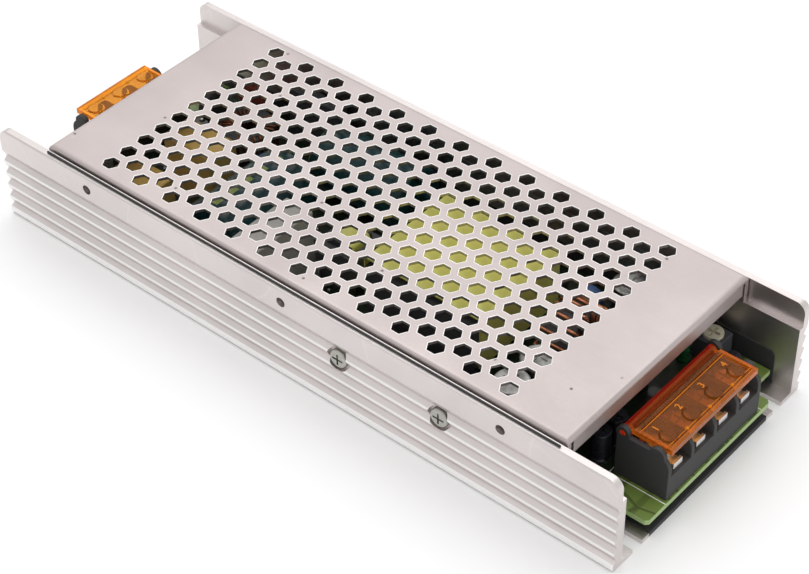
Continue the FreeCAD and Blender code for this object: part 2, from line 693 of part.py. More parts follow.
save("bulk_capacitors", [lying_capacitor(-39.5, -9.5, 10.0, 32.0, Y_AXIS),
                         lying_capacitor(-23.0, 21.5, 9.6, 32.0, X_AXIS)])
save("output_capacitors", [can_capacitor(r * kr, h * kz, x * kx, y * ky) for x, y, r, h in (
    (60.5, -13.2, 4.8, 18.0), (60.5, -23.8, 4.8, 18.0), (72.0, -8.5, 4.8, 18.0), (72.0, -19.2, 4.8, 18.0),
    (72.5, 9.5, 4.8, 16.0), (60.5, 25.0, 4.8, 16.0))])


# ---------------------------------------------------------------- power devices on the wall
pad_thickness = 0.4
device_thickness, device_width = 4.5 * ky, 10.0 * kx
device_z0, device_z1 = board_z + 3.0 * kz, board_z + 18.0 * kz
pad_z0 = flap_top + 0.3
bar_thickness = 2.0 * ky
wall_y = -inner_half
device_back = wall_y + pad_thickness
bar_back = device_back + device_thickness
device_offset = device_width / 2 + 5.0 * kx
devices = []
for screw in wall_screw_x:
    for side in (-1, 1):
        x = screw + side * device_offset
        body = box(x - device_width / 2, x + device_width / 2, device_back, bar_back, device_z0, device_z1)
        body = body.makeChamfer(0.5, edges_along(body, Z_AXIS, lambda c: c.y > bar_back - 1e-3))
        legs = [box(x + i * 2.5 * kx - 0.5, x + i * 2.5 * kx + 0.5, bar_back - 2.2, bar_back - 1.6,
                    board_z, device_z0 + 1) for i in (-1, 0, 1)]
        devices.append(fuse([body] + legs))
save("power_devices", devices)

bar_x0 = wall_screw_x[0] - device_offset - device_width / 2 - 1.0
bar_x1 = wall_screw_x[1] + device_offset + device_width / 2 + 1.0
pads = []
for screw in wall_screw_x:
    reach = device_offset + device_width / 2
    pads.append(cut(box(screw - reach, screw + reach, wall_y, device_back, pad_z0, device_z1 + 0.8),
                    [rod(wall_screw_radius + 0.3, 4, (screw, wall_y - 1, wall_screw_z), Y_AXIS)]))
save("thermal_pads", pads)
bar = box(bar_x0, bar_x1, bar_back, bar_back + bar_thickness, wall_screw_z - 3.8, wall_screw_z + 3.8)
save("clamp_bar", cut(bar, [rod(wall_screw_radius + running_gap, 9, (x, bar_back - 3, wall_screw_z), Y_AXIS)
                            for x in wall_screw_x]))

head_seat = -half_width + pocket_depth
wall_screws = []
for x in wall_screw_x:
    screw = fuse([pan_head(wall_head_radius, wall_head_height, (0, 0, 0)),
                  rod(wall_screw_radius, bar_back + bar_thickness - head_seat + 1.0,
                      (0, 0, 0.2), V(0, 0, -1))])
    screw.rotate(V(0, 0, 0), X_AXIS, 90)
    screw.translate(V(x, head_seat, wall_screw_z))
    wall_screws.append(screw)
save("wall_screws", wall_screws)


# ---------------------------------------------------------------- small parts on the board
def chip(x, y, size_x, size_y, height):
    """Return a chip with a row of legs along both long sides."""
    x, y = x * kx, y * ky
    body = box(x - size_x / 2, x + size_x / 2, y - size_y / 2, y + size_y / 2, board_z + 0.3,
               board_z + height)
    legs = []
    for i in range(4):
        px = x + (i - 1.5) * size_x / 4.4
        legs.append(box(px - 0.25, px + 0.25, y - size_y / 2 - 0.9, y + size_y / 2 + 0.9,
                        board_z, board_z + 0.5))
    return fuse([body] + legs)


def axial(x, y, radius, length):
    """Return an axial resistor lying along X just above the board on two legs."""
    x, y = x * kx, y * ky
    z = board_z + radius + 0.6
    body = rod(radius, length, (x - length / 2, y, z), X_AXIS)
    reach = length / 2 + 1.6
    lead = rod(0.3, 2 * reach, (x - reach, y, z), X_AXIS)
    legs = [rod(0.42, z - board_z + 0.45, (x + s * reach, y, board_z)) for s in (-1, 1)]
    return fuse([body, lead] + legs)


save("control_chips", [chip(-8.5, -21.5, 9.0, 4.4, 1.9), chip(34.0, 27.0, 9.0, 4.4, 1.9),
                       chip(-8.0, 7.5, 8.0, 4.4, 3.4), chip(12.5, 28.5, 6.0, 4.4, 3.4)])
save("resistors", [axial(-9.0, -29.0, 1.3, 6.5), axial(23.0, 29.5, 1.3, 6.5), axial(14.0, -22.5, 1.6, 7.5),
                   axial(34.0, -22.5, 1.6, 7.5), axial(72.0, 20.5, 1.3, 5.0)])
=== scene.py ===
"""Looks for a slim enclosed switching power supply in a ribbed aluminium channel."""

import json
import logging
import math
import random
from dataclasses import dataclass, replace
from enum import Enum
from typing import Any, Optional, Sequence, Union

import bmesh
import bpy
from mathutils import Matrix, Vector

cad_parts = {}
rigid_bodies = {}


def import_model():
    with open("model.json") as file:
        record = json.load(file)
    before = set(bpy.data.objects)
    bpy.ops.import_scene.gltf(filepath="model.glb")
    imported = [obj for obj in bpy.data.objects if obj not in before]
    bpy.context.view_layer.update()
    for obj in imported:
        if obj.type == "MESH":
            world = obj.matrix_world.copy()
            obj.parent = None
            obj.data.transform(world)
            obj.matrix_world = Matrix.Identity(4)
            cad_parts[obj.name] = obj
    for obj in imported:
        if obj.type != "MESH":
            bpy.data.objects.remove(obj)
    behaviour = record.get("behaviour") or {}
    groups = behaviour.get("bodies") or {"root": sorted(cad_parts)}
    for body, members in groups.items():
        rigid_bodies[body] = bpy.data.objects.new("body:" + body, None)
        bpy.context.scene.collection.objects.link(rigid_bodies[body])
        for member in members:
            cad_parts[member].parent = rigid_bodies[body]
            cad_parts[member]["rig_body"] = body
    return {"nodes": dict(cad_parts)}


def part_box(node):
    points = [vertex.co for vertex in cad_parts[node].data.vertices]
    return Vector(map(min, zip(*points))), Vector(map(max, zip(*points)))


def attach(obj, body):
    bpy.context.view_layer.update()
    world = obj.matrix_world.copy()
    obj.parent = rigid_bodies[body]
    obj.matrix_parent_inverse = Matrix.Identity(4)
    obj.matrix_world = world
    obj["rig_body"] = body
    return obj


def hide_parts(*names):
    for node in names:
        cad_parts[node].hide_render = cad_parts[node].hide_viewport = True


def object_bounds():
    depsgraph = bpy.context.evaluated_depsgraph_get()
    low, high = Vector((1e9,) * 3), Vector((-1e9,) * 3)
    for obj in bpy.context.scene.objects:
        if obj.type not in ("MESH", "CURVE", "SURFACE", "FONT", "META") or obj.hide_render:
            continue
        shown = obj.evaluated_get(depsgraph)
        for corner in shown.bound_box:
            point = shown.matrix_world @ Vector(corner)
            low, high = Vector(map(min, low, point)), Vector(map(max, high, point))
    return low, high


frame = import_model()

LOG = logging.getLogger("power_supply")
CAD_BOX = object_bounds()
MM = 0.001
MICRON = 0.001 * MM
FLAT = math.radians(0.8)    # facets that meet within this are one flat face
Number = Union[int, float]
Colour = tuple[float, float, float]


def linear(red: Number, green: Number, blue: Number) -> Colour:
    """Return a linear colour from 0 to 255 display values."""
    shares = (value / 255.0 for value in (red, green, blue))
    return tuple(v / 12.92 if v <= 0.04045 else ((v + 0.055) / 1.055) ** 2.4 for v in shares)


# ---- shader expressions
class Sock:
    """A shader value that can be used in arithmetic."""

    def __init__(self, shader: "Shader", socket: Any) -> None:
        """Wrap one output socket of a shader's tree."""
        self.shader = shader
        self.socket = socket

    def math(self, operation: str, *others: Any, first: bool = True) -> "Sock":
        """Return the result of a Math node.

        Args:
            operation: the Math node's operation.
            others: the other operands.
            first: whether this value is the first operand.
        Returns:
            The result as a value.
        """
        operands = [self, *others] if first else [*others, self]
        node = self.shader.node("ShaderNodeMath", dict(enumerate(operands)),
                                operation=operation)
        return Sock(self.shader, node.outputs[0])

    def __add__(self, other: Any) -> "Sock":
        """Return the sum."""
        return self.math("ADD", other)

    def __mul__(self, other: Any) -> "Sock":
        """Return the product."""
        return self.math("MULTIPLY", other)

    def __sub__(self, other: Any) -> "Sock":
        """Return the difference."""
        return self.math("SUBTRACT", other)

    def __rsub__(self, other: Any) -> "Sock":
        """Return a number less this value."""
        return self.math("SUBTRACT", other, first=False)

    def __abs__(self) -> "Sock":
        """Return the value without its sign."""
        return self.math("ABSOLUTE")

    __radd__ = __add__
    __rmul__ = __mul__

    def wave(self) -> "Sock":
        """Return the sine of this value."""
        return self.math("SINE")

    def repeat(self, span: Number) -> "Sock":
        """Return the distance to the nearest multiple of a span."""
        return self.math("PINGPONG", span)

    def highest(self, other: Any) -> "Sock":
        """Return the larger of two values."""
        return self.math("MAXIMUM", other)

    def ramp(self, start: Number, end: Number, low: Number = 0.0, high: Number = 1.0) -> "Sock":
        """Return a smooth step between two levels of this value.

        Args:
            start: where the step begins.
            end: where the step ends.
            low: the result before the step.
            high: the result after the step.
        Returns:
            The stepped value.
        """
        node = self.shader.node(
            "ShaderNodeMapRange",
            {"Value": self, "From Min": start, "From Max": end, "To Min": low, "To Max": high},
            interpolation_type="SMOOTHSTEP")
        return Sock(self.shader, node.outputs[0])


class NodeTree:
    """Adds nodes to a tree, taking plain values, sockets and expressions."""

    tree: Any

    def node(self, kind: str, inputs: Optional[dict] = None, **settings: Any) -> Any:
        """Return a new node.

        Args:
            kind: the node's type.
            inputs: values, sockets, nodes or expressions by socket name or number.
            settings: attributes, set before the sockets.
        Returns:
            The node.
        """
        made = self.tree.nodes.new(kind)
        for key, value in settings.items():
            setattr(made, key, value)
        for key, value in (inputs or {}).items():
            self.feed(made.inputs[key], value)
        return made

    def feed(self, socket: Any, value: Any) -> None:
        """Link or set one input socket; a node stands for its first output."""
        value = getattr(value, "socket", value)
        if isinstance(value, bpy.types.Node):
            value = value.outputs[0]
        if isinstance(value, bpy.types.NodeSocket):
            self.tree.links.new(value, socket)
        elif isinstance(value, tuple) and len(value) == 3 and socket.type == "RGBA":
            socket.default_value = (*value, 1.0)
        else:
            socket.default_value = value


class Shader(NodeTree):
    """Builds one material's node tree from expressions."""

    def __init__(self, name: str) -> None:
        """Start a material with only its surface and output nodes."""
        self.material = bpy.data.materials.new(name)
        self.material.use_nodes = True
        self.tree = self.material.node_tree
        self.tree.nodes.clear()
        self.output = self.tree.nodes.new("ShaderNodeOutputMaterial")
        self.surface = self.tree.nodes.new("ShaderNodeBsdfPrincipled")
        self.tree.links.new(self.surface.outputs[0], self.output.inputs["Surface"])
        self.place = self.node("ShaderNodeTexCoord").outputs["Object"]
        split = self.node("ShaderNodeSeparateXYZ", {0: self.place})
        self.x, self.y, self.z = (Sock(self, split.outputs[i]) for i in range(3))

    def stretched(self, stretch: Sequence[Number], turn: Sequence[Number] = (0, 0, 0)) -> Any:
        """Return object coordinates scaled along each axis."""
        mapping = self.node("ShaderNodeMapping", {
            "Vector": self.place, "Scale": tuple(stretch), "Rotation": tuple(turn)})
        return mapping.outputs[0]

    def noise(self, scale: Number, detail: Number = 3.0, stretch: Sequence[Number] = (1, 1, 1),
              rough: Number = 0.5, turn: Sequence[Number] = (0, 0, 0)) -> Sock:
        """Return a cloudy pattern from 0 to 1.

        Args:
            scale: cells per metre.
            detail: layers of finer pattern.
            stretch: how much finer it is along each axis.
            rough: strength of the finer layers.
            turn: rotation of the pattern, in radians.
        Returns:
            The pattern.
        """
        node = self.node("ShaderNodeTexNoise", {
            "Vector": self.stretched(stretch, turn), "Scale": scale, "Detail": detail,
            "Roughness": rough})
        return Sock(self, node.outputs[0])

    def cells(self, scale: Number, stretch: Sequence[Number] = (1, 1, 1), feature: str = "F1",
              random_size: Number = 1.0, flat: bool = False) -> Sock:
        """Return a cell pattern's distance or edge.

        Args:
            scale: cells per metre.
            stretch: how much finer it is along each axis.
            feature: which measure of the cells is used.
            random_size: how irregular the cells are.
            flat: whether the pattern is the same at every height.
        Returns:
            The pattern.
        """
        node = self.node("ShaderNodeTexVoronoi", {
            "Vector": self.stretched(stretch), "Scale": scale, "Randomness": random_size},
            feature=feature, voronoi_dimensions="2D" if flat else "3D")
        return Sock(self, node.outputs["Distance"])

    def blend(self, factor: Any, first: Any, second: Any) -> Sock:
        """Return a mix of two colours.

        Args:
            factor: 0 gives the first colour and 1 the second.
            first: a colour or expression.
            second: a colour or expression.
        Returns:
            The mixed colour.
        """
        node = self.node("ShaderNodeMix", data_type="RGBA")
        for socket, value in ((0, factor), (6, first), (7, second)):
            self.feed(node.inputs[socket], value)
        return Sock(self, node.outputs[2])

    def relief(self, height: Sock, depth: Number) -> None:
        """Drive the surface's normal from a height pattern of a given depth in metres."""
        bump = self.node("ShaderNodeBump", {"Height": height, "Distance": depth, "Strength": 1.0})
        self.feed(self.surface.inputs["Normal"], bump)

    def set(self, **values: Any) -> None:
        """Set the surface's sockets; underscores in the names stand for spaces."""
        for key, value in values.items():
            self.feed(self.surface.inputs[key.replace("_", " ")], value)


# ---- finishes
MIDDLE, WIDE, WIDEST = (0.3, 0.7), (0.25, 0.75), (0.2, 0.8)    # spans of a noise pattern's values


class Grain(Enum):
    """Direction in which a metal was drawn, rolled or sanded."""

    ALONG = (1.0, 26.0, 26.0)
    ACROSS = (26.0, 1.0, 26.0)
    EVEN = (1.0, 1.0, 1.0)


@dataclass(frozen=True)
class Finish:
    """A surface finish.

    Attributes:
        name: the material's name.
        colour: its main colour.
        roughness: its mean roughness.
    """

    name: str
    colour: Colour
    roughness: float = 0.5

    def build(self) -> bpy.types.Material:
        """Return the finish as a material, made once."""
        found = bpy.data.materials.get(self.name)
        if found is not None:
            return found
        shader = Shader(self.name)
        self.paint(shader)
        return shader.material

    def paint(self, shader: Shader) -> None:
        """Fill the shader's tree."""
        shader.set(Base_Color=self.colour, Roughness=self.roughness)

    def tinted(self, factor: float) -> Colour:
        """Return the colour made lighter or darker."""
        return tuple(min(1.0, c * factor) for c in self.colour)


@dataclass(frozen=True)
class WorkedMetal(Finish):
    """Extruded, rolled or plated metal with grain, handling marks, small specks and an optional
    painted highlight band.

    Attributes:
        metallic: how metallic it is.
        grain: the direction of its grain.
        grain_scale: fineness of the grain.
        grain_depth: depth of the grain, in metres.
        specks: strength of the dark specks.
        scratches: strength of the hairline scratches.
        rubbed: axis, distance from the middle plane past which a painted highlight is
            laid, light and hardly metallic, and the level that this stays under.
        bright: the colour of the painted highlight.
    """

    metallic: float = 1.0
    grain: Grain = Grain.EVEN
    grain_scale: float = 900.0
    grain_depth: float = 10 * MICRON
    specks: float = 0.0
    scratches: float = 0.0
    rubbed: tuple = ()
    bright: Colour = (0.92, 0.91, 0.9)

    def paint(self, shader: Shader) -> None:
        """Mix fine grain, wide mottling, specks, hairline scratches and a painted edge highlight.
        """
        fine = shader.noise(self.grain_scale, 4.0, self.grain.value, 0.65)
        cloud = shader.noise(38.0)
        smear = shader.noise(14.0, 5.0, (1.0, 2.2, 1.0), 0.6, (0, 0, 0.5))
        tone = shader.blend(cloud.ramp(*MIDDLE), self.tinted(0.93), self.tinted(1.05))
        tone = shader.blend(fine.ramp(*WIDE, 0.0, 0.35), tone, self.tinted(1.12))
        rough = fine.ramp(*WIDEST, self.roughness - 0.07, self.roughness + 0.08)
        rough = rough + smear.ramp(0.4, 0.7, -0.03, 0.07)
        height = fine
        if self.specks > 0:
            cell = shader.cells(38.0, flat=True)
            pick = shader.noise(30.0, 1.0).ramp(0.44, 0.48)
            mark = cell.ramp(0.008, 0.022, 1.0, 0.0) * pick
            tone = shader.blend(mark * self.specks, tone, self.tinted(0.35))
            rough = rough + mark * 0.15
        if self.scratches > 0:
            for turn, scale, level in ((0.62, 24.0, 0.5), (-0.35, 31.0, 0.52), (1.25, 19.0, 0.48)):
                line = shader.noise(scale, 1.0, (1.0, 46.0, 1.0), 0.4, (0, 0, turn))
                gate = shader.noise(21.0, 0.0, turn=(0, 0, turn * 2)).ramp(0.55, 0.62)
                mark = abs(line - level).ramp(0.0, 0.006, 1.0, 0.0) * gate
                tone = shader.blend(mark * self.scratches, tone, self.tinted(1.25))
                height = height - mark * 0.5
        metallic: Any = self.metallic
        # Painted highlight: faces past the given distance turn light and hardly metallic, so they
        # read as bright lines.
        if self.rubbed:
            axis, distance, level = self.rubbed
            mask = abs(getattr(shader, axis)).ramp(distance - 30 * MICRON, distance + 20 * MICRON)
            mask = mask * shader.z.ramp(level, level + 0.2 * MM, 1.0, 0.0)
            tone = shader.blend(mask, tone, self.bright)
            metallic = self.metallic - mask * 0.75
        shader.set(Base_Color=tone, Roughness=rough, Metallic=metallic)
        shader.relief(height, self.grain_depth)


@dataclass(frozen=True)
class Moulding(Finish):
    """Moulded plastic with a fine spark-eroded texture, flow marks and handling sheen."""

    texture_scale: float = 2600.0
    texture_depth: float = 20 * MICRON
    coat: float = 0.0
    specular: float = 0.3

    def paint(self, shader: Shader) -> None:
        """Mix fine pitting with slow flow marks."""
        pits = shader.noise(self.texture_scale, 2.0, rough=0.6)
        flow = shader.noise(60.0, 4.0, (1.0, 2.0, 3.0), 0.55)
        dust = shader.noise(480.0, 2.0).ramp(0.62, 0.78, 0.0, 0.35)
        tone = shader.blend(flow.ramp(*MIDDLE), self.tinted(0.85), self.tinted(1.2))
        tone = shader.blend(dust, tone, tuple(min(1.0, c * 1.5 + 0.012) for c in self.colour))
        rough = flow.ramp(*WIDE, self.roughness - 0.06, self.roughness + 0.08)
        shader.set(Base_Color=tone, Roughness=rough, Coat_Weight=self.coat,
                   Specular_IOR_Level=self.specular)
        shader.relief(pits + flow * 0.6, self.texture_depth)


@dataclass(frozen=True)
class ClearPlastic(Finish):
    """Clear tinted plastic: deep where it is thick, with a painted glow at its edges.

    Attributes:
        edge: the colour painted in rims and ridges as a glow, also the tint of its highlights.
        bar: the colour of the thick hinge bar.
        clarity: how much light goes through instead of being scattered.
        glow: strength of the painted glow, an emission in the rims and hinge bar.
        rim_box: low and high corners of the flat middle; outside it the painted edge glow shows.
        bar_x: where the hinge bar begins along X, in metres.
        bar_side: +1 when the cover reaches from its hinge towards +X.
        index: the plastic's index of refraction.
    """

    edge: Colour = (1.0, 0.3, 0.02)
    bar: Colour = (0.6, 0.06, 0.02)
    clarity: float = 0.75
    glow: float = 0.2
    rim_box: tuple = ()
    bar_x: float = 0.0
    bar_side: int = 1
    index: float = 1.45

    def paint(self, shader: Shader) -> None:
        """Paint a glow in the edge colour outside the middle, and a wavy moulding sheen over all.
        """
        flow = shader.noise(90.0)
        ripple = shader.noise(700.0, 2.0)
        tone: Any = shader.blend(flow.ramp(*MIDDLE), self.tinted(0.85), self.tinted(1.15))
        # Painted glow: the rims take the bright edge colour and, with the hinge bar, a weak
        # emission.
        if self.rim_box:
            (x0, y0), (x1, y1) = self.rim_box
            past_x = abs(shader.x - (x0 + x1) / 2) - (x1 - x0) / 2
            past_y = abs(shader.y - (y0 + y1) / 2) - (y1 - y0) / 2
            rim = past_x.highest(past_y).ramp(-300 * MICRON, 300 * MICRON)
            dim = tuple(c * 0.8 for c in self.edge)
            glow = shader.blend(flow.ramp(*WIDE), dim, self.edge)
            tone = shader.blend(rim, tone, glow)
            past_bar = (shader.x - self.bar_x) * float(-self.bar_side)
            beyond = past_bar.ramp(-200 * MICRON, 200 * MICRON)
            tone = shader.blend(beyond, tone, self.bar)
            glow_emission = shader.blend(rim, (0.0, 0.0, 0.0), tuple(c * self.glow for c in self.edge))
            glow_emission = shader.blend(beyond, glow_emission, tuple(c * self.glow for c in self.bar))
            shader.set(Emission_Color=glow_emission, Emission_Strength=1.0)
        rough = ripple.ramp(*WIDEST, self.roughness - 0.03, self.roughness + 0.05)
        shader.set(Base_Color=tone, Roughness=rough, Transmission_Weight=self.clarity,
                   Specular_Tint=self.edge, IOR=self.index)
        shader.relief(flow, 20 * MICRON)


@dataclass(frozen=True)
class SolderMask(Finish):
    """Green solder mask over copper tracks, darker between them and paler at the cut edges.

    Attributes:
        top: level of the board's top face, in metres.
        bottom: level of its underside.
        edge: colour of the bare laminate.
        stain: near-black painted shade laid on the board under the cover.
        stain_end: distances from the middle between which the painted shade fades.
    """

    top: float = 0.006
    bottom: float = 0.0044
    edge: Colour = (0.3, 0.5, 0.28)
    stain: Colour = (0.012, 0.022, 0.010)
    stain_end: tuple = (88.5 * MM, 94.5 * MM)

    def paint(self, shader: Shader) -> None:
        """Draw blocky copper areas under the mask, the laminate at the edges and the painted shade
        under the cover.
        """
        block = (1.0, 1.35, 0.001)
        blocks = shader.cells(95.0, block, "F1", 0.75)
        copper = shader.cells(95.0, block, "DISTANCE_TO_EDGE", 0.75)
        track = copper.ramp(0.035, 0.05)
        lines = (shader.x * 900.0 + shader.noise(40.0, 0.0) * 2.0).wave().ramp(0.55, 0.75)
        gate = shader.noise(28.0, 0.0).ramp(0.5, 0.54)
        mask = shader.blend(track, self.tinted(0.62), self.tinted(1.15))
        mask = shader.blend(lines * gate * 0.6, mask, self.tinted(0.55))
        mask = shader.blend(blocks.ramp(0.0, 0.4, 0.25, 0.0), mask, self.tinted(1.5))
        # Painted shade: the board under the cover turns near black, fading out towards the ends.
        wavy = abs(shader.x) + shader.noise(60.0, 2.0) * 0.003
        mask = shader.blend(wavy.ramp(*self.stain_end, 1.0, 0.0), mask, self.stain)
        middle, half = (self.top + self.bottom) / 2, (self.top - self.bottom) / 2
        side = abs(shader.z - middle).ramp(half - 60 * MICRON, half - 30 * MICRON, 1.0, 0.0)
        fibre = shader.noise(1500.0, stretch=(1, 1, 6)).ramp(*MIDDLE)
        laminate = shader.blend(fibre, self.edge, tuple(c * 1.3 for c in self.edge))
        shader.set(Base_Color=shader.blend(side, mask, laminate), Coat_Weight=0.25,
                   Roughness=side * 0.3 + self.roughness)
        shader.relief(track + fibre * side, 40 * MICRON)


@dataclass(frozen=True)
class Wrap(Finish):
    """Layers of tape: overlapping edges, wrinkles and glossy smears."""

    step: float = 6.5 * MM

    def paint(self, shader: Shader) -> None:
        """Draw overlap lines across the wrap and soft wrinkles."""
        crumple = shader.noise(130.0, 4.0, rough=0.55)
        edges = (shader.y + crumple * 0.0006).repeat(self.step)
        edges = edges.ramp(0.0, self.step * 0.12, 1.0, 0.0)
        tone = shader.blend(crumple.ramp(*WIDE), self.tinted(0.8), self.tinted(1.12))
        tone = shader.blend(edges * 0.35, tone, self.tinted(0.55))
        rough = crumple.ramp(*MIDDLE, self.roughness - 0.1, self.roughness + 0.15)
        shader.set(Base_Color=tone, Roughness=rough)
        shader.relief(crumple + edges * 0.5, 200 * MICRON)


@dataclass(frozen=True)
class Sleeved(Finish):
    """A can capacitor: shrunk sleeve with a plain stripe, and bare aluminium where the can shows.

    Attributes:
        axis: the can's axis.
        bare_from: position along the axis past which the metal is bare, in metres.
        stripe: colour of the polarity stripe.
        stripe_span: where the stripe begins and ends across the can, or nothing without one.
    """

    axis: str = "z"
    bare_from: float = 1.0
    stripe: Colour = (0.5, 0.5, 0.48)
    stripe_span: tuple = ()

    def paint(self, shader: Shader) -> None:
        """Blend the sleeve with its stripe and the metal end."""
        shrink = shader.noise(260.0, rough=0.55)
        along, across = (shader.y, shader.x) if self.axis == "y" else (shader.z, shader.x)
        bare = (along - self.bare_from).ramp(-50 * MICRON, 50 * MICRON)
        sleeve = shader.blend(shrink.ramp(*MIDDLE), self.tinted(0.75), self.tinted(1.3))
        if self.stripe_span:
            start, end = self.stripe_span
            fade = 100 * MICRON
            band = across.ramp(start, start + fade) * across.ramp(end, end + fade, 1.0, 0.0)
            dash = (along * 1100.0).wave().ramp(-0.2, 0.2)
            sleeve = shader.blend(band * dash, sleeve, self.stripe)
        metal = shader.blend(shrink.ramp(*MIDDLE), linear(150, 150, 148), linear(205, 204, 200))
        shader.set(Base_Color=shader.blend(bare, sleeve, metal), Metallic=bare * 0.9,
                   Roughness=shrink.ramp(*MIDDLE, self.roughness - 0.05, self.roughness + 0.1))
        shader.relief(shrink, 80 * MICRON)


@dataclass(frozen=True)
class Enamelled(Finish):
    """Enamelled copper wire with slight colour change from turn to turn."""

    def paint(self, shader: Shader) -> None:
        """Vary the enamel's depth and gloss."""
        turns = shader.noise(420.0, 2.0)
        drawn = shader.noise(3000.0, 2.0)
        tone = shader.blend(turns.ramp(*MIDDLE), self.tinted(0.6), self.tinted(1.35))
        rough = drawn.ramp(*WIDEST, self.roughness - 0.05, self.roughness + 0.1)
        shader.set(Base_Color=tone, Metallic=0.75, Roughness=rough, Coat_Weight=0.5)
        shader.relief(drawn, 10 * MICRON)


@dataclass(frozen=True)
class CappedGlass(Finish):
    """A glass tube between two metal end caps."""

    middle: float = 0.0
    half: float = 0.005

    def paint(self, shader: Shader) -> None:
        """Use metal past the half length and cloudy glass between."""
        cap = abs(shader.x - self.middle).ramp(self.half - 20 * MICRON, self.half + 20 * MICRON)
        cloud = shader.noise(300.0, 2.0)
        tone = shader.blend(cap, self.colour, linear(200, 198, 190))
        shader.set(Base_Color=tone, Metallic=cap * 0.95, Alpha=cap * 0.55 + 0.45,
                   Roughness=cloud.ramp(*MIDDLE, 0.08, 0.22))
        shader.relief(cloud, 20 * MICRON)


# The outer rib crests below 19.3 mm carry the painted highlight, as bright lines along the ribs.
ALUMINIUM = WorkedMetal("extruded_aluminium", linear(216, 209, 207), 0.36, grain=Grain.ALONG,
                        grain_scale=420.0, grain_depth=20 * MICRON, scratches=0.25,
                        rubbed=("y", CAD_BOX[1][1] - 0.22 * MM, 19.3 * MM))
COVER_SHEET = WorkedMetal("cover_sheet_metal", linear(190, 180, 178), 0.44, grain_scale=1500.0,
                          specks=0.9, scratches=0.35)
# Lighter, less metallic copy of the cover metal: a painted highlight on the hole rims.
HOLE_RIM_HIGHLIGHT = WorkedMetal("hole_rim_highlight", linear(244, 242, 240), 0.28, 0.55, grain_scale=2500.0)
PLATED = WorkedMetal("plated_steel", linear(176, 174, 168), 0.32, 0.95, grain_scale=1800.0)
TINNED = WorkedMetal("tinned_brass", linear(226, 222, 204), 0.3, 0.9, Grain.ACROSS, 1200.0,
                     scratches=0.4)
SOLDER = WorkedMetal("solder", linear(208, 208, 204), 0.2, 0.9, grain_depth=30 * MICRON)
BLACK_MOULDING = Moulding("black_moulding", linear(13, 14, 12), 0.45, specular=0.02)
DARK_PLASTIC = Moulding("dark_plastic", linear(15, 16, 17), 0.42, specular=0.06)
FERRITE = Moulding("ferrite", linear(34, 34, 36), 0.62, 900.0, 60 * MICRON, specular=0.15)
FILM = Moulding("black_film", linear(9, 10, 9), 0.25, 500.0, 40 * MICRON, specular=0.03)
CREAM = Moulding("cream_plastic", linear(222, 216, 190), 0.42)
GREY_CASE = Moulding("grey_case", linear(176, 170, 158), 0.5)
AMBER_CASE = Moulding("amber_case", linear(206, 132, 34), 0.36)
BLUE_COAT = Moulding("blue_coating", linear(38, 74, 128), 0.25, 700.0, coat=0.4)
RED_COAT = Moulding("dark_red_coating", linear(96, 34, 24), 0.25, 700.0, coat=0.4)
LACQUER = Moulding("resistor_lacquer", linear(176, 148, 108), 0.3, coat=0.3)
PAD = Moulding("thermal_pad", linear(120, 126, 124), 0.75, 1500.0, 50 * MICRON)
YELLOW_TAPE = Wrap("yellow_tape", linear(226, 222, 96), 0.34)
COPPER = Enamelled("copper_wire", linear(178, 88, 52), 0.26)
DARK_COPPER = Enamelled("line_choke_wire", linear(120, 66, 36), 0.3)
SILK = Moulding("silk_screen", linear(232, 232, 222), 0.6)
LED_RESIN = ClearPlastic("led_resin", linear(48, 140, 84), 0.15, clarity=0.6)


# ---- mesh helpers
def dress(node: str, finish: Finish) -> None:
    """Give a CAD node its finish, keeping its mesh."""
    obj = frame["nodes"][node]
    obj.data.materials.clear()
    obj.data.materials.append(finish.build())
    LOG.info("dressed %s with %s", node, finish.name)


def placed(name: str, data: Any) -> bpy.types.Object:
    """Return a new object in the scene that shows the given data."""
    obj = bpy.data.objects.new(name, data)
    bpy.context.scene.collection.objects.link(obj)
    return obj


def add_piece(name: str, mesh: bpy.types.Mesh, finish: Optional[Finish], body: str,
              replaces: Sequence[str] = ()) -> None:
    """Add a finished mesh to the scene as a piece.

    Args:
        name: the piece's name.
        mesh: its mesh, in the row frame.
        finish: its finish, or None where the mesh has one already.
        body: the body it rides on.
        replaces: CAD nodes that it stands for.
    """
    mesh.name = name
    obj = placed(name, mesh)
    if finish is not None:
        mesh.materials.clear()
        mesh.materials.append(finish.build())
    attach(obj, body)
    if replaces:
        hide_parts(*replaces)
    LOG.info("piece %s: %d faces on %s", name, len(mesh.polygons), body)


def evaluated_mesh(obj: bpy.types.Object) -> bpy.types.Mesh:
    """Return an object's mesh with its modifiers applied, and remove the object."""
    graph = bpy.context.evaluated_depsgraph_get()
    mesh = bpy.data.meshes.new_from_object(obj.evaluated_get(graph))
    obj.modifiers.clear()
    bpy.data.objects.remove(obj)
    return mesh


def softened(node: str, finish: Finish, width: float, segments: int = 2,
             angle: float = 30.0) -> None:
    """Replace a CAD node by a copy whose sharp edges are rounded.

    Args:
        node: the CAD node.
        finish: the finish of the copy.
        width: the rounding's width in metres.
        segments: the rounding's steps.
        angle: the smallest edge angle that is rounded, in degrees.
    """
    source = frame["nodes"][node]
    mesh = source.data.copy()
    work = bmesh.new()
    work.from_mesh(mesh)
    bmesh.ops.remove_doubles(work, verts=work.verts, dist=2 * MICRON)
    bmesh.ops.dissolve_limit(work, angle_limit=FLAT, verts=work.verts, edges=work.edges)
    work.to_mesh(mesh)
    work.free()
    if "custom_normal" in mesh.attributes:
        mesh.attributes.remove(mesh.attributes["custom_normal"])
    mesh.polygons.foreach_set("use_smooth", [True] * len(mesh.polygons))
    mesh.set_sharp_from_angle(angle=math.radians(angle))
    temp = placed("temp", mesh)
    bevel = temp.modifiers.new("edge", "BEVEL")
    bevel.harden_normals = True
    bevel.width = width
    bevel.segments = segments
    bevel.limit_method = "ANGLE"
    bevel.angle_limit = math.radians(angle)
    add_piece(node + "_skin", evaluated_mesh(temp), finish, source["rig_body"],
              (node,))


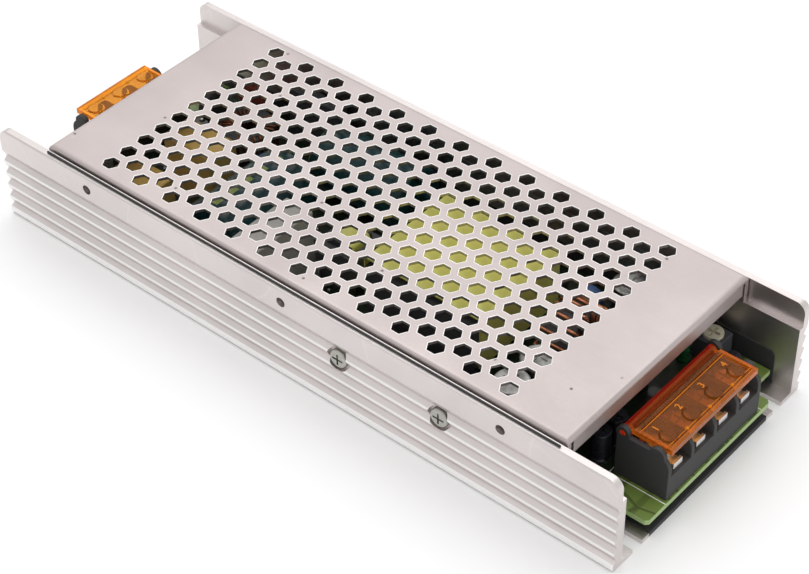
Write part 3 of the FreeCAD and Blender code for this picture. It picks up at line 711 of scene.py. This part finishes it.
class Draft:
    """Collects simple solids into one mesh."""

    def __init__(self) -> None:
        """Start with nothing."""
        self.work = bmesh.new()

    def slab(self, low: Sequence[float], high: Sequence[float]) -> None:
        """Add a box between two corners."""
        centre = [(a + b) / 2 for a, b in zip(low, high)]
        size = [b - a for a, b in zip(low, high)]
        place = Matrix.Translation(centre) @ Matrix.Diagonal((*size, 1.0))
        bmesh.ops.create_cube(self.work, size=1.0, matrix=place)

    def nub(self, centre: Sequence[float], radius: float) -> None:
        """Add a slightly flattened ball round its centre."""
        place = Matrix.Translation(centre) @ Matrix.Diagonal((radius, radius, radius * 0.8, 1.0))
        bmesh.ops.create_uvsphere(self.work, u_segments=16, v_segments=8, radius=1.0, matrix=place)

    def tube(self, path: Sequence[Vector], radius: float, closed: bool, steps: int) -> None:
        """Add a round bar along a path.

        Args:
            path: points in order.
            radius: the bar's radius.
            closed: whether the last point joins the first.
            steps: sides of the bar.
        """
        rings = []
        count = len(path)
        for i, point in enumerate(path):
            before = path[(i - 1) % count] if closed or i > 0 else point
            after = path[(i + 1) % count] if closed or i < count - 1 else point
            turn = (after - before).normalized().to_track_quat("Z", "Y").to_matrix().to_4x4()
            place = Matrix.Translation(point) @ turn
            angles = (2 * math.pi * k / steps for k in range(steps))
            round_it = [Vector((radius * math.cos(a), radius * math.sin(a), 0)) for a in angles]
            rings.append([self.work.verts.new(place @ p) for p in round_it])
        for i in range(count if closed else count - 1):
            a, b = rings[i], rings[(i + 1) % count]
            for k in range(steps):
                self.work.faces.new((a[k], a[(k + 1) % steps], b[(k + 1) % steps], b[k]))
        if not closed:
            self.work.faces.new(list(reversed(rings[0])))
            self.work.faces.new(rings[-1])

    def mesh(self, smooth: bool = True) -> bpy.types.Mesh:
        """Return the collected solids as a mesh with faces outward."""
        bmesh.ops.recalc_face_normals(self.work, faces=self.work.faces)
        mesh = bpy.data.meshes.new("draft")
        self.work.to_mesh(mesh)
        self.work.free()
        if smooth:
            mesh.polygons.foreach_set("use_smooth", [True] * len(mesh.polygons))
            mesh.set_sharp_from_angle(angle=math.radians(35.0))
        return mesh


# ---- geometry nodes
class Pattern(NodeTree):
    """A geometry node tree with named sizes that ends in one finished mesh."""

    def __init__(self, name: str, finish: Finish) -> None:
        """Start the tree with its group input and output."""
        self.finish = finish
        self.tree = bpy.data.node_groups.new(name, "GeometryNodeTree")
        for way in ("INPUT", "OUTPUT"):
            self.socket("Geometry", way, "NodeSocketGeometry")
        self.start = self.tree.nodes.new("NodeGroupInput")
        self.end = self.tree.nodes.new("NodeGroupOutput")
        self.values: dict[str, Any] = {}

    def socket(self, name: str, way: str, kind: str) -> Any:
        """Add an input or output of a kind to the tree and return it."""
        return self.tree.interface.new_socket(name, in_out=way, socket_type=kind)

    def size(self, name: str, value: float) -> Any:
        """Add a named input with its value and return its socket."""
        self.values[self.socket(name, "INPUT", "NodeSocketFloat").identifier] = value
        return self.start.outputs[name]

    def repeat(self, shape: Any, **inputs: Any) -> None:
        """End the tree: copy a shape to every point, realise, smooth and finish it.

        Args:
            shape: the node that makes the shape.
            inputs: the copies' own Rotation or Scale.
        """
        copies = self.node("GeometryNodeInstanceOnPoints",
                           {"Points": self.start, "Instance": shape, **inputs})
        real = self.node("GeometryNodeRealizeInstances", {"Geometry": copies})
        shade = self.node("GeometryNodeSetShadeSmooth", {"Geometry": real})
        paint = self.node("GeometryNodeSetMaterial",
                          {"Geometry": shade, "Material": self.finish.build()})
        self.feed(self.end.inputs[0], paint)

    def wire(self, outline: Any, radius: Any, sides: int) -> Any:
        """Return a node that sweeps a round wire along an outline.

        Args:
            outline: the node that makes the outline.
            radius: the wire's radius.
            sides: the wire's sides.
        Returns:
            The node.
        """
        profile = self.node("GeometryNodeCurvePrimitiveCircle",
                            {"Resolution": sides, "Radius": radius}, mode="RADIUS")
        return self.node("GeometryNodeCurveToMesh", {"Curve": outline, "Profile Curve": profile})

    def grow(self, points: Sequence[Vector]) -> bpy.types.Mesh:
        """Run the tree on a set of points and return the plain mesh.

        Args:
            points: where the pattern's copies go.
        Returns:
            The mesh.
        """
        seed = bpy.data.meshes.new("seed")
        seed.from_pydata([tuple(p) for p in points], [], [])
        carrier = placed("carrier", seed)
        modifier = carrier.modifiers.new("pattern", "NODES")
        modifier.node_group = self.tree
        for identifier, value in self.values.items():
            modifier[identifier] = value
        return evaluated_mesh(carrier)


# ---- housing
@dataclass
class Housing:
    """Ribbed channel, perforated cover, its punched rims with a painted highlight, the insulating
    film and a strip of painted shade in the gap beside the cover.
    """

    rim_radius: float = 2.62 * MM
    rim_bead: float = 0.17 * MM
    hole_pitch: float = 6.43 * MM
    hole_shift: float = -0.8 * MM
    channel_edge: float = 0.16 * MM
    cover_edge: float = 0.12 * MM
    film_gap: float = 0.42 * MM
    film_drop: float = 0.75 * MM
    film_depth: float = 0.8 * MM
    film_end: float = 1.0 * MM
    wall: float = 2.65 * MM
    plain_ends: float = 39.0 * MM
    plain_sides: float = 9.8 * MM

    def hole_centres(self) -> list[Vector]:
        """Return the centres of the cover's holes on its top face."""
        low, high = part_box("perforated_cover")
        half_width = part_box("extruded_channel")[1].y - self.wall
        row_step = self.hole_pitch * math.sqrt(3) / 2
        rows = int((high.x - low.x - self.plain_ends) / row_step) + 1
        across = int((2 * half_width - self.plain_sides) / self.hole_pitch) + 1
        centres = []
        for row in range(rows):
            count = across - row % 2
            x = self.hole_shift + (row - (rows - 1) / 2) * row_step
            for i in range(count):
                centres.append(Vector((x, (i - (count - 1) / 2) * self.hole_pitch, high.z)))
        return centres

    def make_rims(self) -> None:
        """Lay a rolled bead round every punched hole, coloured as a painted highlight."""
        pattern = Pattern("punched_rims", HOLE_RIM_HIGHLIGHT)
        radius = pattern.size("Rim radius", self.rim_radius)
        bead = pattern.size("Bead radius", self.rim_bead)
        outline = pattern.node("GeometryNodeCurvePrimitiveCircle",
                               {"Resolution": 6, "Radius": radius}, mode="RADIUS")
        pattern.repeat(pattern.wire(outline, bead, 6))
        points = [p - Vector((0, 0, self.rim_bead * 0.55)) for p in self.hole_centres()]
        add_piece("cover_hole_rims", pattern.grow(points), None, "housing")

    def tuck_film(self) -> None:
        """Lay a black strip in the gap beside the cover: painted shade where the gap is dark."""
        low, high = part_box("perforated_cover")
        draft = Draft()
        level = high.z - self.film_drop
        draft.slab((low.x + self.film_end, low.y - self.film_gap, level - self.film_depth),
                   (high.x - self.film_end, low.y - 0.05 * MM, level))
        add_piece("cover_gap_shade", draft.mesh(False), FILM, "housing")

    def build(self) -> None:
        """Make and dress the housing's pieces."""
        softened("extruded_channel", ALUMINIUM, self.channel_edge, angle=20.0)
        softened("perforated_cover", COVER_SHEET, self.cover_edge, angle=40.0)
        self.make_rims()
        # A black strip of painted shade in the gap beside the cover.
        self.tuck_film()
        dress("insulating_film", FILM)


# ---- circuit board
@dataclass
class CircuitBoard:
    """Board with its print, solder joints, posts and screws."""

    silk_width: float = 0.25 * MM
    silk_lift: float = 0.03 * MM
    silk_margin: float = 0.9 * MM
    joint_radius: float = 0.95 * MM
    joint_top: float = 0.25 * MM
    joint_height: float = 0.6 * MM
    joint_count: int = 150
    grid: float = 1.27 * MM
    spacing: float = 2.6 * MM
    clearance: float = 1.6 * MM
    plain_ends: float = 9.0 * MM
    plain_sides: float = 2.5 * MM
    seed: int = 7

    def silk(self) -> None:
        """Print plain outlines beside the terminal blocks."""
        draft = Draft()
        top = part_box("circuit_board")[1].z
        half, margin = self.silk_width / 2, self.silk_margin
        for block in ("output_terminal_block", "input_terminal_block"):
            low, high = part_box(block)
            x0, x1 = low.x - margin * 0.5, high.x + margin * 0.4
            y0, y1 = low.y - margin, high.y + margin
            for a, b in (((x0, y0), (x1, y0)), ((x0, y1), (x1, y1)), ((x0, y0), (x0, y1))):
                draft.slab((a[0] - half, a[1] - half, top - 0.01 * MM),
                           (b[0] + half, b[1] + half, top + self.silk_lift))
        add_piece("board_print", draft.mesh(False), SILK, "housing")

    def joint_places(self) -> list[Vector]:
        """Return random places on the board's grid that nothing stands on."""
        low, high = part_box("circuit_board")
        dice = random.Random(self.seed)
        wide = ("circuit_board", "extruded_channel", "perforated_cover", "insulating_film")
        taken = []
        for node, obj in frame["nodes"].items():
            a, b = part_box(node)
            on_board = a.z < high.z + 0.4 * MM and (b - a).length < 50.0 * MM
            if node not in wide and len(obj.data.vertices) and on_board:
                taken.append((a, b))
        gap, near, grid = self.clearance, self.spacing, self.grid
        points: list[Vector] = []
        for _ in range(self.joint_count * 12):
            x = dice.uniform(low.x + self.plain_ends, high.x - self.plain_ends)
            y = dice.uniform(low.y + self.plain_sides, high.y - self.plain_sides)
            if any(a.x - gap < x < b.x + gap and a.y - gap < y < b.y + gap for a, b in taken):
                continue
            if any(abs(p.x - x) < near and abs(p.y - y) < near for p in points):
                continue
            points.append(Vector((round(x / grid) * grid, round(y / grid) * grid, high.z)))
            if len(points) >= self.joint_count:
                break
        return points

    def joints(self) -> None:
        """Scatter solder joints over the board's open places."""
        pattern = Pattern("solder_joints", SOLDER)
        cone = pattern.node("GeometryNodeMeshCone", {
            "Vertices": 12, "Radius Top": pattern.size("Top radius", self.joint_top),
            "Radius Bottom": pattern.size("Joint radius", self.joint_radius),
            "Depth": pattern.size("Joint height", self.joint_height)})
        spread = pattern.node("FunctionNodeRandomValue", {"Min": 0.7, "Max": 1.15, "Seed": 4},
                              data_type="FLOAT")
        pattern.repeat(cone, Scale=spread.outputs[1])
        points = self.joint_places()
        add_piece("solder_joints", pattern.grow(points), None, "housing")

    def build(self) -> None:
        """Make and dress the board's pieces."""
        low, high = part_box("circuit_board")
        mask = SolderMask("solder_mask", linear(104, 124, 58), 0.34, top=high.z, bottom=low.z,
                          edge=linear(150, 176, 116))
        dress("circuit_board", mask)
        self.silk()
        self.joints()
        dress("board_standoffs", PLATED)
        dress("board_screws", PLATED)


# ---- terminal blocks
class End(Enum):
    """The two terminal ends: label, the way the wires leave along X, and number of poles."""

    OUTPUT = ("output", 1, 4)
    INPUT = ("input", -1, 3)


@dataclass
class TerminalEnd:
    """A barrier terminal block with its flip cover, clamp plates and screws."""

    end: End
    amber: Colour = linear(205, 132, 62)
    # edge is the bright rim colour and the glow value the emission strength: a painted glow on the
    # flip cover.
    edge: Colour = linear(255, 150, 48)
    bar: Colour = linear(214, 58, 36)
    clarity: float = 0.92
    glow: float = 0.08
    ridge: float = 0.13 * MM
    nub: float = 0.55 * MM
    bar_depth: float = 1.8 * MM
    rim_start: float = 1.9 * MM
    rim_end: float = 1.15 * MM
    rim_side: float = 2.7 * MM
    frame_start: float = 4.95 * MM
    frame_end: float = 12.7 * MM
    frame_side: float = 1.5 * MM
    frame_drop: float = 0.38 * MM
    figure_place: float = 7.0 * MM
    figure_size: float = 2.7 * MM

    def __post_init__(self) -> None:
        """Take the end's label, facing and number of poles, and name its flip cover's node."""
        self.label, self.facing, self.poles = self.end.value
        self.cover = self.label + "_terminal_cover"

    def hinge_and_tip(self) -> tuple[float, float]:
        """Return the two ends of the flip cover along X, its hinge first."""
        low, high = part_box(self.cover)
        return (low.x, high.x) if self.facing > 0 else (high.x, low.x)

    def pole_places(self) -> list[float]:
        """Return the y position of each pole."""
        found = []
        for i in range(1, self.poles + 1):
            low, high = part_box("%s_screw_%d" % (self.label, i))
            found.append((low.y + high.y) / 2)
        return found

    def make_cover(self) -> None:
        """Replace the flip cover by a rounded one in clear amber."""
        low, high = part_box(self.cover)
        hinge, tip = self.hinge_and_tip()
        x0, x1 = sorted((hinge + self.facing * self.rim_start, tip - self.facing * self.rim_end))
        finish = ClearPlastic(
            self.label + "_amber", self.amber, 0.1, self.edge, self.bar, self.clarity, self.glow,
            rim_box=((x0, low.y + self.rim_side), (x1, high.y - self.rim_side)),
            bar_x=hinge + self.facing * self.bar_depth, bar_side=self.facing)
        softened(self.cover, finish, 0.22 * MM, 3)

    def make_ridges(self) -> None:
        """Add the moulded ridges: an inner frame with a nub between poles, and pole numbers."""
        low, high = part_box(self.cover)
        hinge = self.hinge_and_tip()[0]
        top = high.z - self.frame_drop
        # The ridges and figures take the bright edge colour as a painted glow.
        glow = ClearPlastic(self.label + "_amber_ridge", self.edge, 0.12, clarity=0.35)
        draft = Draft()
        x0, x1 = (hinge + self.facing * d for d in (self.frame_start, self.frame_end))
        y0, y1 = low.y + self.frame_side, high.y - self.frame_side
        corners = ((x0, y0), (x0, y1), (x1, y1), (x1, y0))
        draft.tube([Vector((x, y, top)) for x, y in corners], self.ridge, True, 8)
        places = self.pole_places()
        for a, b in zip(places, places[1:]):
            draft.nub((x1, (a + b) / 2, top), self.nub)
        ridges = self.label + "_cover_ridges"
        add_piece(ridges, draft.mesh(), glow, self.label + "_cover")
        self.make_numbers(Vector((hinge + self.facing * self.figure_place, 0.0, top)), glow)

    def make_numbers(self, middle: Vector, finish: Finish) -> None:
        """Emboss the plain pole numbers on the flip cover.

        Args:
            middle: a point on the line of the figures, on the cover's flat top.
            finish: the finish of the raised figures.
        """
        parts = bmesh.new()
        turn = Matrix.Rotation(math.radians(90.0 * self.facing), 4, "Z")
        for number, y in enumerate(self.pole_places(), 1):
            curve = bpy.data.curves.new("figure", "FONT")
            curve.body = str(number)
            curve.size = self.figure_size
            curve.extrude = 0.08 * MM
            curve.bevel_depth = 0.03 * MM
            curve.resolution_u = 3
            curve.align_x, curve.align_y = "CENTER", "CENTER"
            mesh = evaluated_mesh(placed("figure", curve))
            mesh.transform(Matrix.Translation(middle + Vector((0.0, y, 0.0))) @ turn)
            parts.from_mesh(mesh)
        mesh = bpy.data.meshes.new("figures")
        parts.to_mesh(mesh)
        parts.free()
        add_piece(self.label + "_pole_numbers", mesh, finish, self.label + "_cover")

    def build(self) -> None:
        """Make and dress the end's pieces."""
        softened(self.label + "_terminal_block", BLACK_MOULDING, 0.2 * MM)
        self.make_cover()
        self.make_ridges()
        plates = self.label + "_contact_plates"
        low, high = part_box(plates)
        # The plates' front faces at the mouth carry a painted highlight.
        mouth = max(abs(low.x), abs(high.x)) - 30 * MICRON
        dress(plates, replace(TINNED, name=plates + "_metal", rubbed=("x", mouth, 1.0)))
        for i in range(1, self.poles + 1):
            softened("%s_washer_%d" % (self.label, i), TINNED, 0.12 * MM)
            dress("%s_screw_%d" % (self.label, i), PLATED)


# ---- electronics
@dataclass
class Electronics:
    """Everything that stands on the board between the terminal blocks."""

    turns: int = 24
    wire: float = 0.52 * MM
    thin_turns: int = 30
    thin_wire: float = 0.4 * MM
    thin_gap: float = 0.3
    cap_drop: float = 2.35 * MM
    fuse_cap: float = 5.0 * MM

    def plain(self) -> None:
        """Dress the nodes whose shape is right already."""
        table = {
            DARK_PLASTIC: "trimmer_body transformer_bobbin auxiliary_bobbin line_choke_base "
                          "thermistor bridge_rectifier power_devices control_chips",
            FERRITE: "transformer_core auxiliary_core output_choke_core line_choke_core",
            YELLOW_TAPE: "transformer_winding transformer_tape auxiliary_winding",
            PLATED: "clamp_bar wall_screws", TINNED: "fuse_clips", CREAM: "trimmer_rotor",
            LED_RESIN: "status_led", AMBER_CASE: "x_capacitors", GREY_CASE: "box_capacitor",
            BLUE_COAT: "y_capacitors", RED_COAT: "varistor", PAD: "thermal_pads",
            LACQUER: "resistors",
        }
        for finish, nodes in table.items():
            for node in nodes.split():
                dress(node, finish)

    def cans(self) -> None:
        """Dress the can capacitors: sleeve, stripe and bare ends."""
        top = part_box("output_capacitors")[1].z
        black, grey, green = linear(26, 26, 30), linear(32, 34, 42), linear(24, 62, 66)
        dress("output_capacitors", Sleeved("output_can", black, 0.3, "z", top - self.cap_drop))
        dress("small_capacitors", Sleeved("small_can", grey, 0.3, "z", top))
        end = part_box("bulk_capacitors")[1].y
        dress("bulk_capacitors", Sleeved("bulk_can", green, 0.3, "y", end, linear(150, 160, 92),
                                         (-42.0 * MM, -38.5 * MM)))

    def fuse(self) -> None:
        """Dress the fuse as glass between metal caps."""
        low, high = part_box("fuse_tube")
        middle, half = (low.x + high.x) / 2, (high.x - low.x) / 2 - self.fuse_cap
        dress("fuse_tube", CappedGlass("fuse_glass", linear(190, 200, 200), 0.1, middle, half))

    def winding(self, node: str, name: str, finish: Finish, turns: int, wire: float,
                axis: str, gap: float = 0.0) -> None:
        """Replace a winding shell by separate turns of wire round its ring core.

        Args:
            node: the CAD node of the shell.
            name: the new piece's name.
            finish: the wire's finish.
            turns: number of turns in a full circle.
            wire: the wire's radius.
            axis: the ring's axis, X or Z.
            gap: half angle left bare at each side of the ring, in radians.
        """
        upright = axis == "X"
        low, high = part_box("output_choke_core" if upright else "line_choke_core")
        outer = (high.y - low.y) / 2
        inner = outer * (0.58 if upright else 0.52)
        thick = (high.x - low.x) if upright else (high.z - low.z)
        pattern = Pattern(name, finish)
        loop = pattern.node("GeometryNodeCurvePrimitiveQuadrilateral", {
            "Width": pattern.size("Loop width", outer - inner + 2 * wire),
            "Height": pattern.size("Loop height", thick + 2 * wire)}, mode="RECTANGLE")
        rounded = pattern.node("GeometryNodeFilletCurve",
                               {"Curve": loop, "Radius": wire * 1.6, "Count": 3}, mode="POLY")
        turn = pattern.wire(rounded, pattern.size("Wire radius", wire), 7)
        stand = pattern.node("GeometryNodeTransform",
                             {"Geometry": turn, "Rotation": (math.pi / 2, 0.0, 0.0)})
        position = pattern.node("GeometryNodeInputPosition")
        place = pattern.node("ShaderNodeSeparateXYZ", {0: position})
        angle = pattern.node("ShaderNodeMath", {0: place.outputs[1], 1: place.outputs[0]},
                             operation="ARCTAN2")
        pattern.repeat(stand, Rotation=pattern.node("ShaderNodeCombineXYZ", {2: angle}))
        middle = (outer + inner) / 2
        points = []
        for i in range(turns):
            a = 2 * math.pi * (i + 0.5) / turns
            if not gap or abs(math.cos(a)) >= math.sin(gap):
                points.append(Vector((middle * math.cos(a), middle * math.sin(a), 0.0)))
        mesh = pattern.grow(points)
        if upright:
            mesh.transform(Matrix.Rotation(math.pi / 2, 4, "Y"))
        mesh.transform(Matrix.Translation((low + high) / 2))
        add_piece(name, mesh, None, "housing", (node,))

    def feet(self) -> None:
        """Add the wire ends of the output choke."""
        low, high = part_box("output_choke_core")
        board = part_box("circuit_board")[1].z
        draft = Draft()
        for side in (-1, 1):
            x = (low.x + high.x) / 2 + side * (high.x - low.x) / 2
            y = (low.y + high.y) / 2 + side * 4.0 * MM
            draft.tube([Vector((x, y, board)), Vector((x, y, board + 2.4 * MM)),
                        Vector((x - side * 1.2 * MM, y, board + 4.2 * MM))], self.wire, False, 10)
        add_piece("output_choke_feet", draft.mesh(), COPPER, "housing")

    def build(self) -> None:
        """Make and dress the electronics."""
        self.plain()
        self.cans()
        self.fuse()
        self.winding("output_choke_winding", "output_choke_turns", COPPER, self.turns,
                     self.wire, "X")
        self.winding("line_choke_windings", "line_choke_turns", DARK_COPPER, self.thin_turns,
                     self.thin_wire, "Z", self.thin_gap)
        self.feet()


# ---- studio
@dataclass
class Studio:
    """Pale floor, plain sky, one soft light and the camera."""

    floor_side: float = 6.0
    sky_strength: float = 0.85
    light_place: tuple = (-0.24, 0.30, 1.14)
    light_size: float = 1.6
    light_power: float = 7.5
    lens: float = 96.67
    eye: tuple = (0.2851, -0.3240, 0.3879)
    forward: tuple = (-0.48683, 0.56594, -0.66536)
    down: tuple = (0.42359, -0.51321, -0.74645)

    def floor(self) -> None:
        """Lay a wide pale floor under the object."""
        mesh = bpy.data.meshes.new("floor")
        side = self.floor_side
        corners = [(-side, -side, 0), (side, -side, 0), (side, side, 0), (-side, side, 0)]
        mesh.from_pydata(corners, [], [(0, 1, 2, 3)])
        shader = Shader("pale_floor")
        pale = shader.blend(shader.noise(3.0, 2.0), (0.93, 0.93, 0.93), (0.96, 0.96, 0.96))
        shader.set(Base_Color=pale, Roughness=0.9)
        mesh.materials.append(shader.material)
        placed("floor", mesh)

    def light(self) -> None:
        """Hang one wide soft square light aimed at the object."""
        data = bpy.data.lights.new("top_light", "AREA")
        data.shape = "SQUARE"
        data.size = self.light_size
        data.energy = self.light_power
        obj = placed("top_light", data)
        obj.location = self.light_place
        obj.rotation_mode = "QUATERNION"
        obj.rotation_quaternion = (-Vector(self.light_place)).to_track_quat("-Z", "Y")

    def sky(self) -> None:
        """Fill the surroundings with plain white light."""
        world = bpy.data.worlds.new("studio")
        world.use_nodes = True
        inputs = world.node_tree.nodes["Background"].inputs
        inputs[0].default_value = (1.0, 1.0, 1.0, 1.0)
        inputs[1].default_value = self.sky_strength
        bpy.context.scene.world = world

    def camera(self) -> None:
        """Set up the camera."""
        data = bpy.data.cameras.new("camera")
        data.lens = self.lens
        data.sensor_width = 36.0
        data.clip_start, data.clip_end = 0.01, 20.0
        obj = placed("camera", data)
        back = -Vector(self.forward).normalized()
        up = -Vector(self.down).normalized()
        right = up.cross(back).normalized()
        up = back.cross(right)
        turn = Matrix((right, up, back)).transposed().to_4x4()
        obj.matrix_world = Matrix.Translation(self.eye) @ turn
        bpy.context.scene.camera = obj

    def build(self) -> None:
        """Build the studio."""
        self.floor()
        self.sky()
        self.light()
        self.camera()
        bpy.context.scene.view_settings.view_transform = "Standard"


def main() -> None:
    """Build every piece, then the studio."""
    logging.basicConfig(level=logging.INFO, format="%(message)s")
    Housing().build()
    CircuitBoard().build()
    TerminalEnd(End.OUTPUT).build()
    TerminalEnd(End.INPUT, linear(228, 150, 50), linear(255, 166, 52), linear(236, 110, 36),
                0.82, 0.12).build()
    Electronics().build()
    Studio().build()


if __name__ == "__main__":
    main()
